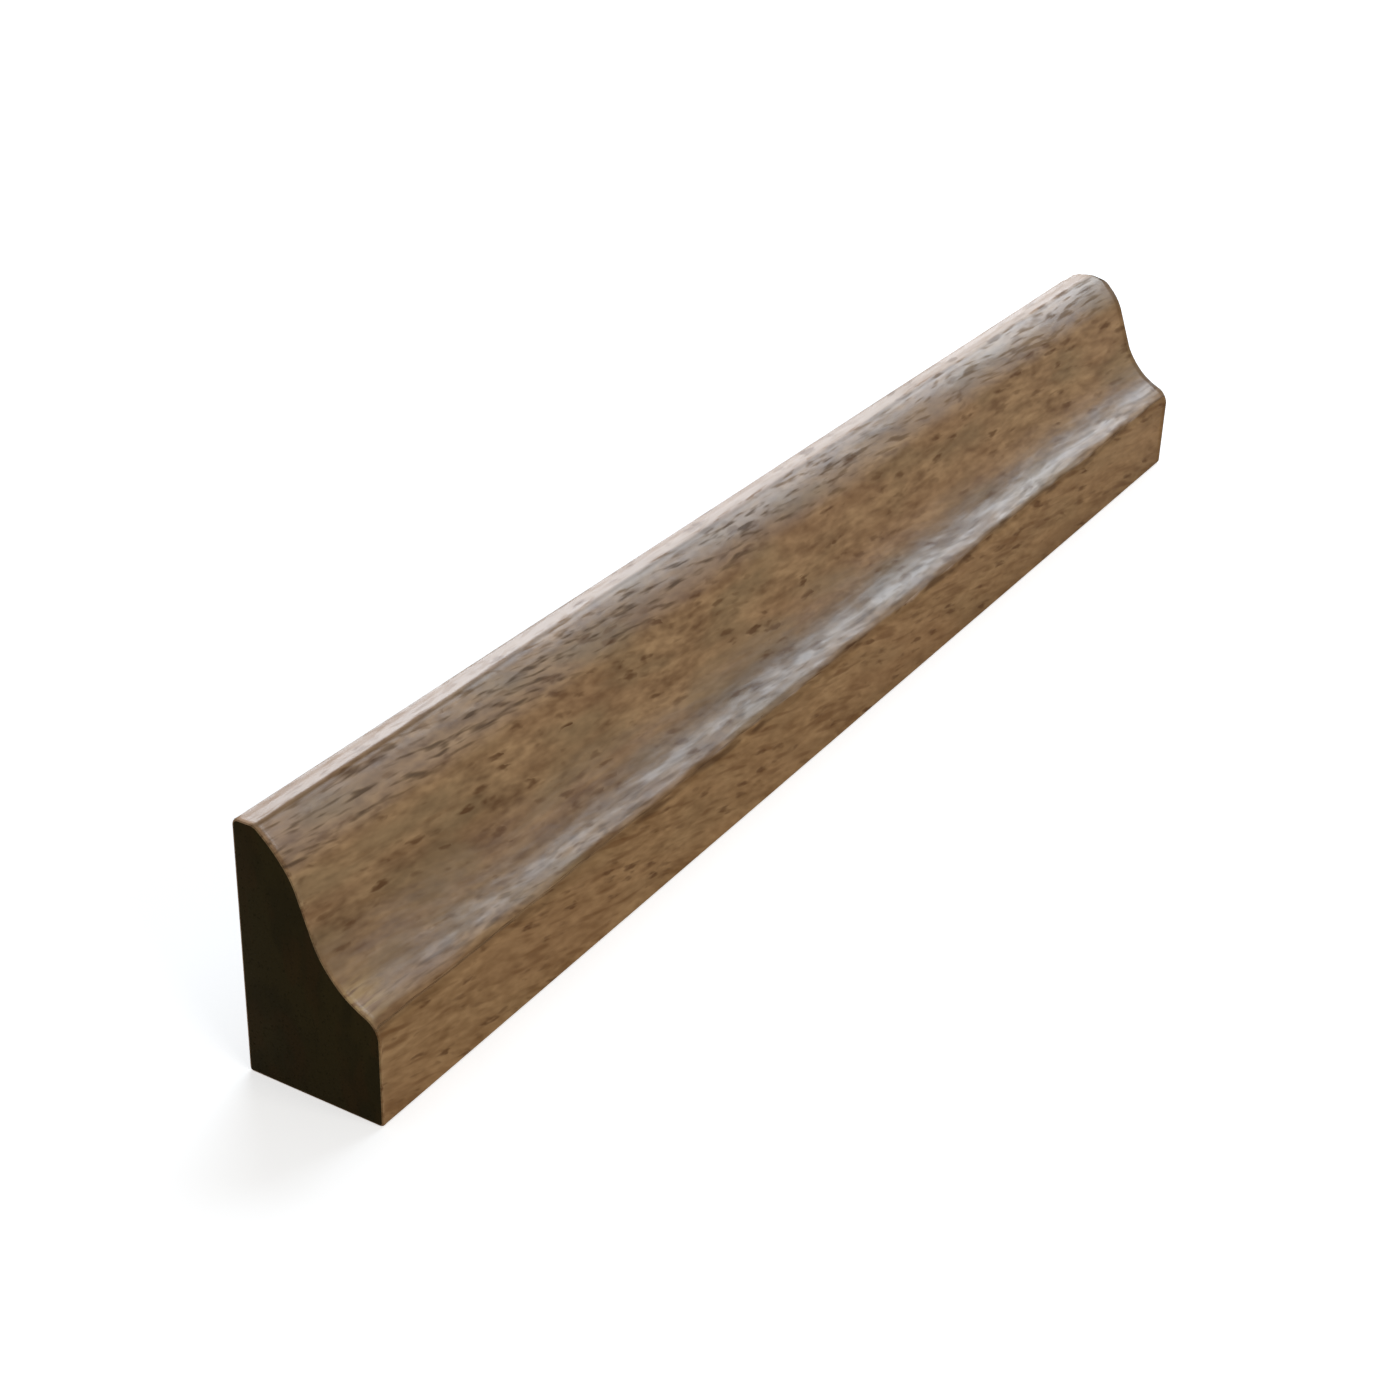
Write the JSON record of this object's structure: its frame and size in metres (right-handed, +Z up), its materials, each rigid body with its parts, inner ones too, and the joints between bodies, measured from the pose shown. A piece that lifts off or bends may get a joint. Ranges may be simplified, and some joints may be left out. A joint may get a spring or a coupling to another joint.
{
  "type": "shoe moulding",
  "caption": "Short length of solid wood shoe moulding with a flat back and bottom and an ogee front, made to cover the joint between a skirting board and a floor.",
  "frame": {"origin": "middle of the flat bottom, half way along the length", "axes": "+X along the length, -Y out of the moulded front into the room, +Y out of the flat back into the wall, +Z up"},
  "size_m": [0.13, 0.0108, 0.019],
  "materials": {
    "stained_hardwood": "stained, under a satin varnish"
  },
  "bodies": {
    "root": {"shoe_moulding": "stained_hardwood"}
  },
  "joints": []
}
